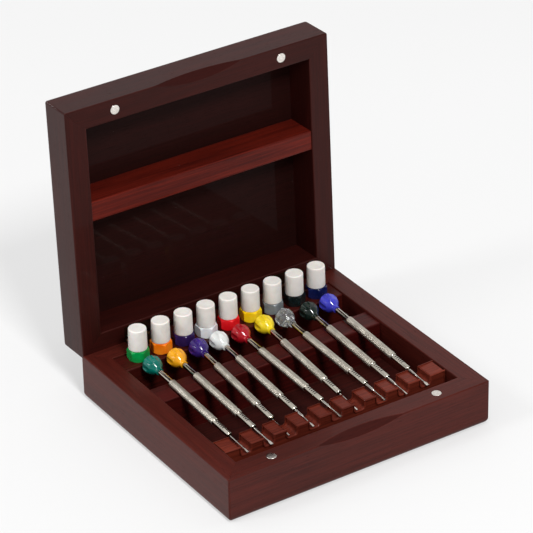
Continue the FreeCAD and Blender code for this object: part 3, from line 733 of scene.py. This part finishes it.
HEADS = {
    1: ("teal", "00574d", "066c60"), 2: ("amber", "d8900e", "eba520"), 3: ("violet", "2d185f", "3a2278"),
    4: ("white", "cfd1cf", "dedfdd"), 5: ("red", "8e0c18", "a81320"), 6: ("yellow", "d9bd10", "ebd02a"),
    7: ("clear", "eef1f2", "fafcfc"), 8: ("black", "0b1613", "15231e"), 9: ("blue", "3233a4", "4445c0"),
}
SEE_THROUGH = {"Transmission Weight": 0.93, "Subsurface Weight": 0.0, "IOR": 1.49}
for number, (hue, deep, bright) in HEADS.items():
    clear = hue == "clear"
    rough, constants = (0.05, SEE_THROUGH) if clear else (0.08, None)
    finish = plastic(f"head_{hue}", deep, bright, rough, 0.03, constants)
    head = make_piece(f"head_{number}", laid(head_points, number), head_faces, finish, 40)
    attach(head, f"swivel_{number}")
    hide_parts(f"driver_{number}_head")
print("heads:", len(HEADS))

# %% [markdown]
# ## Blade vials
# Each vial is a plastic tube that hangs in the rack by a six-sided collar, like a nut with its
# corners turned off above and below. The collar's radius at an angle is a hexagon's, and the
# turned-off corners are two cones; the least of the three, softened, gives the curved edges seen
# on a nut. The off-white stopper is a drafted plug with a rounded crown and a faintly dished top.

# %% Vial shapes
COLLAR_HEIGHT, COLLAR_APOTHEM = 6.8, 5.95
COLLAR_FOOT, COLLAR_TOP, FOOT_SLOPE, TOP_SLOPE = 6.0, 6.15, 0.9, 0.8
TUBE_RADIUS, TUBE_BORE, TUBE_LENGTH, TUBE_FLOOR = 5.6, 3.8, 21.0, 1.2
COLLAR_TURNS = dict(enumerate((57, 50, 41, 60, 48, 52, 40, 57, 45), start=1))
ROW_Y = (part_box("vial_1_stopper")[0].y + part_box("vial_1_stopper")[1].y) / 2 / MM
RACK_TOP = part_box("vial_rack")[1].z / MM


def tube_rings(turn, rows=28, columns=96):
    """Rings up the tube and collar, over the rim and down the bore to its floor."""
    angle = np.linspace(0, 2 * np.pi, columns, endpoint=False) + np.pi / 2
    hexagon = COLLAR_APOTHEM / np.cos((angle - turn + np.pi / 6) % (np.pi / 3) - np.pi / 6)
    low = [(-TUBE_LENGTH, 1.0), (-TUBE_LENGTH, TUBE_RADIUS - 0.5), (-TUBE_LENGTH + 0.5, TUBE_RADIUS)]
    tube = np.array(low + [(0.0, TUBE_RADIUS)])
    height = np.linspace(0, COLLAR_HEIGHT, rows)
    foot = COLLAR_FOOT + FOOT_SLOPE * height
    top = COLLAR_TOP + TOP_SLOPE * (COLLAR_HEIGHT - height)
    cones = soft_min(foot, top, 30)[:, None]
    collar = soft_min(cones, np.broadcast_to(hexagon, (rows, columns)), 90)
    inner = np.array([
        (COLLAR_HEIGHT, TUBE_BORE + 0.2), (COLLAR_HEIGHT - 0.2, TUBE_BORE),
        (TUBE_FLOOR - TUBE_LENGTH, TUBE_BORE), (TUBE_FLOOR - TUBE_LENGTH, 0.8),
    ])
    outer = [spun(tube[:, 0], tube[:, 1], columns), spun(height, collar, columns)]
    return np.concatenate([*outer, spun(inner[:, 0], inner[:, 1], columns)])


def stopper_rings():
    """Rings up the spigot, over its shoulder, up the drafted grip and over the crown."""
    plug, grip, crown, dish = 3.75, 5.75, 5.5, 0.18
    spigot, top = 5.0, 18.9
    side = eased([
        (0.0, 0.6), (0.0, plug), (spigot, plug), (spigot, grip), (top, crown),
        (top, 3.9), (top - dish, 3.4), (top - dish, 0.5),
    ], 0.95, 8)
    return spun(side[:, 0], side[:, 1], 72)


VIALS = {
    1: ("green", "05893f", "0aa350"), 2: ("orange", "fb7a0c", "ff9020"), 3: ("violet", "271447", "33205a"),
    4: ("white", "dcdfe2", "eceef0"), 5: ("red", "dc101a", "ee2028"), 6: ("yellow", "fcd010", "ffdc28"),
    7: ("grey", "6c7275", "82888b"), 8: ("black", "0c1414", "182222"), 9: ("navy", "0b1440", "152058"),
}
STOPPER_WHITE = plastic("stopper_white", "e0dbd5", "e9e5df", 0.36, 0.1)
stopper_points, stopper_faces = ring_solid(stopper_rings())
for number, (hue, deep, bright) in VIALS.items():
    low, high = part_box(f"vial_{number}_stopper")
    base = np.array([(low.x + high.x) / 2 / MM, ROW_Y, RACK_TOP])
    turn = math.radians(COLLAR_TURNS[number])
    points, faces = ring_solid(tube_rings(turn))
    finish = plastic(f"tube_{hue}", deep, bright, 0.17)
    tube = make_piece(f"tube_{number}", points + base, faces, finish, 40)
    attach(tube, f"vial_{number}")
    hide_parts(f"vial_{number}_tube")
    foot = np.array([base[0], ROW_Y, low.z / MM])
    stopper = make_piece(f"stopper_{number}", stopper_points + foot, stopper_faces, STOPPER_WHITE, 40)
    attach(stopper, f"stopper_{number}")
    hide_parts(f"vial_{number}_stopper")
print("vials:", len(VIALS), " collars stand on the rack at", round(RACK_TOP, 2), "mm")

# %% [markdown]
# ## Magnet discs
# Nickelled neodymium discs sit flush in the front rims. Plating rounds their edges a little, and
# they pick up fine scratches from their opposite numbers. The rings go out along the back, round
# the edge and in over the face.

# %% Magnets
MAGNET_RADIUS, MAGNET_THICK, MAGNET_EASE = 3.0, 3.0, 0.25
SKIN_INSET = 0.03


def nickel():
    """Bright nickel with fine random scratches in its roughness."""
    finish = Finish("bright_nickel", {"Metallic": 1.0})
    place = finish.place()
    haze = finish.noise(place, 900.0, 4.0)
    tint = finish.mix(haze.ramp(0.3, 0.7), colour("efe9e2"), colour("d9d2ca"))
    finish.feed({"Base Color": tint, "Roughness": 0.12 + haze * 0.25})
    finish.bump(haze, 0.00001, 0.2)
    return finish.material


def disc():
    """Rings of a disc with eased edges, from its back to its face along +Z, a little under size."""
    radius = MAGNET_RADIUS - SKIN_INSET
    corners = [(0, 0.5), (0, radius), (MAGNET_THICK, radius), (MAGNET_THICK, 0.5)]
    side = eased(corners, MAGNET_EASE, 5)
    return spun(side[:, 0], side[:, 1], 64)


def add_magnets(name, node, body, turn, centre, face):
    """Two discs for one front rim, turned so that their faces look out of it."""
    parts, faces = [], []
    for side in (-1, 1):
        points, quads = ring_solid(disc())
        offset = sum(len(p) for p in parts)
        points = points @ turn.T + centre * (side, 1, 1) + face
        parts.append(points)
        faces += [[corner + offset for corner in quad] for quad in quads]
    piece = make_piece(name, np.concatenate(parts), faces, NICKEL, 40)
    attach(piece, body)
    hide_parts(node)


NICKEL = nickel()
low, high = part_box("base_magnets")
upright = np.eye(3)
middle = np.array([high.x / MM - MAGNET_RADIUS, (low.y + high.y) / 2 / MM, 0])
add_magnets("base_discs", "base_magnets", "base", upright, middle, np.array([0, 0, low.z / MM]))
low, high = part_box("lid_magnets")
swing = np.array(Matrix.Rotation(-OPEN_ANGLE, 3, "X"))
look = swing @ np.array([0, 0, -1])
out_turn = swing @ np.diag([1, -1, -1])
centre = (np.array(low) + np.array(high)) / 2 / MM
middle = np.array([high.x / MM - MAGNET_RADIUS, centre[1], centre[2]])
add_magnets("lid_discs", "lid_magnets", "lid", out_turn, middle, -MAGNET_THICK / 2 * look)
print("magnet faces look along", look.round(3))

# %% [markdown]
# ## The comb
# The comb is a bar with nine round-cornered slots for the blades, an outline pushed along Y. The
# outline walks up one end, along the top from slot to slot, and back underneath, and each slot's
# lip is a small arc. Sanding has softened the real bar's ends. Here the outline is drawn in by
# the ease for the whole push, and a rounded rim at each end opens out to its full size. Each end
# face lies inside its rim, one ease in, so the skin crosses itself there and the rims' faces point
# inwards.

# %% Comb shape
SLOT_HALF, SLOT_FLOOR, SLOT_CORNER, LIP = 3.3, 23.05, 1.6, 0.45
SLOT_PITCH, END_EASE = 15.55, 0.9


def arc(centre, radius, start, stop, steps):
    """Points on an arc in the outline's plane, angles in degrees."""
    angle = np.radians(np.linspace(start, stop, steps))
    return np.stack([centre[0] + radius * np.cos(angle), centre[1] + radius * np.sin(angle)], -1)


def slot_outline(top):
    """One slot about x = 0 from its left lip to its right lip."""
    inner, floor = SLOT_HALF - SLOT_CORNER, SLOT_FLOOR + SLOT_CORNER
    return np.concatenate([
        arc((-SLOT_HALF - LIP, top - LIP), LIP, 90, 0, 5),
        arc((-inner, floor), SLOT_CORNER, 180, 270, 8),
        arc((inner, floor), SLOT_CORNER, 270, 360, 8),
        arc((SLOT_HALF + LIP, top - LIP), LIP, 180, 90, 5),
    ])


def inset(outline, amount):
    """The outline moved inwards along its own normals, which come from its neighbours."""
    along = np.roll(outline, -1, 0) - np.roll(outline, 1, 0)
    along /= np.linalg.norm(along, axis=1)[:, None]
    return outline + amount * np.stack([along[:, 1], -along[:, 0]], -1)


def pushed(outline, low, high, ease):
    """Points and faces of an outline drawn in by ease and pushed along Y from low to high.

    The rings start on the full outline one ease past low, come out round a rim to low, and end
    the same way at high, so each end face is set back inside its rim.
    """
    bend = np.radians(np.linspace(0, 90, 5))
    steps = [(ease * (1 - math.cos(b)), ease * (1 - math.sin(b))) for b in bend]
    stations = [(low + back, shrink) for shrink, back in steps]
    stations += [(high - back, shrink) for shrink, back in steps[::-1]]
    rings = []
    for y, shrink in stations:
        flat = inset(outline, shrink)
        rings.append(np.stack([flat[:, 0], np.full(len(flat), y), flat[:, 1]], -1))
    rings = np.array(rings)
    rows, columns, _ = rings.shape
    last = (rows - 1) * columns
    faces = ring_faces(rows, columns).tolist()
    faces += [list(range(columns))[::-1], list(range(last, last + columns))]
    return rings.reshape(-1, 3), faces


def add_comb():
    """The comb bar with its nine slots."""
    low, high = (np.array(corner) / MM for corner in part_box("comb_bar"))
    columns_x = (np.arange(COUNT) - COUNT // 2) * SLOT_PITCH
    slots = [slot_outline(high[2]) + (x, 0) for x in columns_x]
    ends = [[(low[0], low[2]), (low[0], high[2])], [(high[0], high[2]), (high[0], low[2])]]
    outline = np.concatenate([ends[0], *slots, ends[1]])
    points, faces = pushed(outline, low[1], high[1], END_EASE)
    comb = make_piece("comb", points, faces, BAR_WOOD, 28)
    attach(comb, "base")
    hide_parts("comb_bar")
    return comb


print("comb faces:", len(add_comb().data.polygons))

# %% [markdown]
# ## Floor and light
# A plain pale floor and soft light show the lacquer best: satin wood mirrors a bright floor
# faintly at a glancing angle. The sky is a soft dome, brighter behind and to the sides than in
# front, so polished steel has something dark and something bright to mirror. Three panels add
# soft shadows and put small highlights on the glossy heads.

# %% Stage
def add_floor():
    """A large pale sheet, faintly mottled and lit a little from below, as a light table is."""
    size = 6.0
    glow = {"Emission Color": (1.0, 1.0, 1.0, 1.0), "Emission Strength": 0.44}
    finish = Finish("pale_floor", {"Roughness": 0.85, "Specular IOR Level": 0.1, **glow})
    cloud = finish.noise(finish.place(), 3.0, 2.0)
    finish.feed({"Base Color": finish.mix(cloud, colour("a5a5a5"), colour("a9a9a9"))})
    corners = np.array([(-1, -1, 0), (1, -1, 0), (1, 1, 0), (-1, 1, 0)]) * size / MM
    make_piece("floor", corners, [[0, 1, 2, 3]], finish.material)


def add_panel(name, place, aim, width, power):
    """A square soft light at a place, facing an aim."""
    data = bpy.data.lights.new(name, "AREA")
    data.size = width
    data.energy = power
    lamp = bpy.data.objects.new(name, data)
    bpy.context.scene.collection.objects.link(lamp)
    lamp.location = place
    lamp.rotation_euler = (Vector(aim) - Vector(place)).to_track_quat("-Z", "Y").to_euler()


def add_sky(low, high):
    """A dome whose light grows smoothly from the front to the back."""
    world = bpy.data.worlds.new("sky")
    bpy.context.scene.world = world
    world.use_nodes = True
    tree = world.node_tree
    tree.nodes.clear()
    nodes = [tree.nodes.new("ShaderNode" + kind) for kind in ("TexCoord", "SeparateXYZ", "MapRange")]
    nodes += [tree.nodes.new("ShaderNode" + kind) for kind in ("Background", "OutputWorld")]
    coordinate, split, grade, background, output = nodes
    grade.interpolation_type = "SMOOTHSTEP"
    for name, value in (("From Min", -0.9), ("From Max", 0.3), ("To Min", low), ("To Max", high)):
        grade.inputs[name].default_value = value
    tree.links.new(coordinate.outputs["Generated"], split.inputs[0])
    tree.links.new(split.outputs["Y"], grade.inputs["Value"])
    tree.links.new(grade.outputs[0], background.inputs["Strength"])
    tree.links.new(background.outputs[0], output.inputs["Surface"])


add_floor()
add_sky(0.28, 1.0)
add_panel("key", (-0.5, -2.7, 3.0), (0, 0, 0.05), 0.8, 112)
add_panel("fill", (-2.9, 0.7, 2.6), (0, 0, 0.05), 0.8, 32)
add_panel("top", (-0.3, -0.4, 3.5), (0, 0, 0.05), 0.5, 16)
bpy.context.scene.view_settings.view_transform = "Standard"
print("lights:", len(bpy.data.lights))
